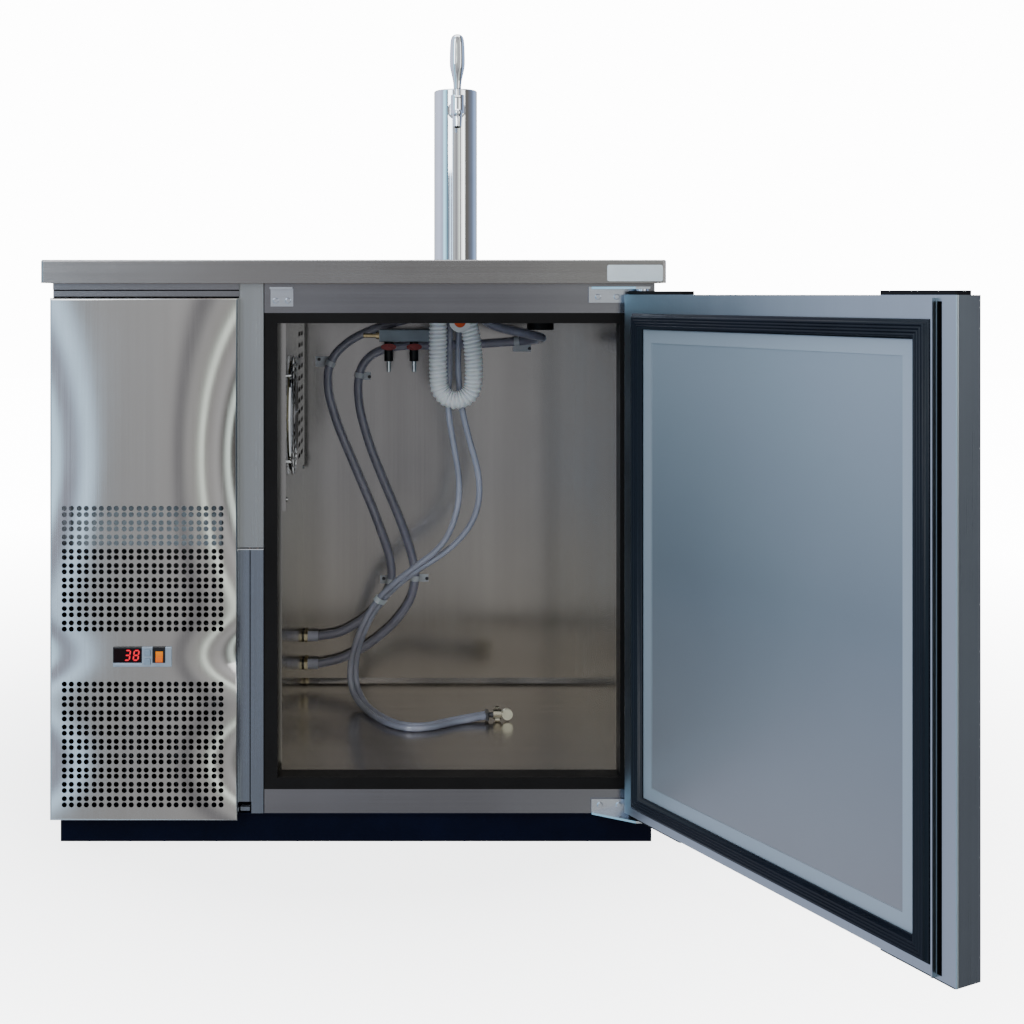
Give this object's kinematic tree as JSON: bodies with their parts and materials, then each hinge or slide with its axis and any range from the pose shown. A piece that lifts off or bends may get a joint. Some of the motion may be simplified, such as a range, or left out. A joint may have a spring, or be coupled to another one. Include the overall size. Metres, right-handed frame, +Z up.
{
  "type": "direct-draw kegerator",
  "caption": "Stainless under-counter keg cooler with a hinged door, tap tower, blower evaporator, gas manifold and a vented machine compartment.",
  "frame": {"origin": "centre of the base underside on the floor", "axes": "+X to the right seen from the front, +Y to the back, +Z up"},
  "size_m": [1.2214, 1.2277, 1.299],
  "materials": {
    "stainless": "satin",
    "chrome": "polished",
    "black_paint": "satin",
    "galvanised": "satin",
    "foam": "matte",
    "black_plastic": "satin",
    "board": "matte",
    "white_plastic": "satin",
    "dark_glass": "gloss",
    "aluminium": "satin",
    "grey_paint": "satin",
    "copper": "satin",
    "brass": "satin",
    "hose_vinyl": "gloss",
    "clear_vinyl": "gloss",
    "liner_plastic": "satin",
    "gasket_rubber": "matte",
    "red_plastic": "satin",
    "amber_plastic": "gloss",
    "key_plastic": "satin"
  },
  "bodies": {
    "cabinet": {"plinth": "black_paint", "outer_shell": "stainless", "insulation": "foam", "liner_walls": "stainless", "liner_floor": "stainless", "liner_ceiling": "stainless", "front_frame": "stainless", "mullion": "stainless", "mullion_cover": "stainless", "breaker_frame": "black_plastic", "countertop": "stainless", "countertop_core": "board", "label_plate": "white_plastic", "grille_panel": "stainless", "controller_housing": "black_plastic", "display_window": "dark_glass", "machine_rear_panel": "galvanised", "power_inlet": "black_plastic", "condenser_coil": "aluminium", "condenser_fan_shroud": "black_paint", "compressor": "black_paint", "electrical_box": "grey_paint", "copper_lines": "copper", "evaporator_housing": "grey_paint", "evaporator_coil": "aluminium", "evaporator_cover": "stainless", "fan_guard": "chrome", "tower_column": "chrome", "tower_cap": "chrome", "faucet_body": "chrome", "gas_manifold": "grey_paint", "bulkhead_fittings": "brass", "pipe_clips": "white_plastic", "gas_hose_a": "hose_vinyl", "gas_hose_b": "hose_vinyl", "duct_hose": "white_plastic", "beer_line_1": "clear_vinyl", "beer_line_2": "clear_vinyl", "ceiling_fittings": "black_plastic", "tower_light": "white_plastic", "keg_nut": "brass", "line_tie": "white_plastic", "hinge_brackets": "stainless", "floor_screws": "stainless"},
    "door": {"door_skin": "stainless", "door_foam": "foam", "door_liner": "liner_plastic", "door_gasket": "gasket_rubber", "thermal_break": "black_plastic", "door_edge_plates": "black_paint"},
    "tap_handle": {"tap_lever": "chrome", "tap_handle": "chrome"},
    "valve_lever_left": {"valve_lever_left": "red_plastic"},
    "valve_lever_right": {"valve_lever_right": "red_plastic"},
    "evaporator_fan": {"evaporator_fan": "black_plastic"},
    "condenser_fan": {"condenser_fan": "aluminium"},
    "rocker_switch": {"rocker_switch": "amber_plastic"},
    "key_up": {"key_up": "key_plastic"},
    "key_down": {"key_down": "key_plastic"}
  },
  "joints": [
    {"name": "door_swing", "type": "hinge", "parent": "cabinet", "child": "door", "pos_m": [0.442, -0.347, 0], "axis": [0, 0, 1], "range_deg": [-117.3, 17.7]},
    {"name": "tap_pull", "type": "hinge", "parent": "cabinet", "child": "tap_handle", "pos_m": [0.171, -0.072, 1.188], "axis": [1, 0, 0], "range_deg": [0, 30]},
    {"name": "gas_valve_left", "type": "hinge", "parent": "cabinet", "child": "valve_lever_left", "pos_m": [0.052, 0.185, 0.7525], "axis": [0, -1, 0], "range_deg": [0, 90]},
    {"name": "gas_valve_right", "type": "hinge", "parent": "cabinet", "child": "valve_lever_right", "pos_m": [0.1, 0.185, 0.7525], "axis": [0, -1, 0], "range_deg": [0, 90]},
    {"name": "evaporator_fan_spin", "type": "hinge", "parent": "cabinet", "child": "evaporator_fan", "pos_m": [-0.155, -0.165, 0.652], "axis": [1, 0, 0], "continuous": true},
    {"name": "condenser_fan_spin", "type": "hinge", "parent": "cabinet", "child": "condenser_fan", "pos_m": [-0.322, -0.178, 0.25], "axis": [0, 1, 0], "continuous": true},
    {"name": "power_rocker", "type": "hinge", "parent": "cabinet", "child": "rocker_switch", "pos_m": [-0.298, -0.336, 0.2955], "axis": [1, 0, 0], "range_deg": [0, 14]},
    {"name": "key_up_press", "type": "slide", "parent": "cabinet", "child": "key_up", "axis": [0, 1, 0], "range_m": [0, 0.001], "stiffness_N_per_m": 300},
    {"name": "key_down_press", "type": "slide", "parent": "cabinet", "child": "key_down", "axis": [0, 1, 0], "range_m": [0, 0.001], "stiffness_N_per_m": 300}
  ]
}
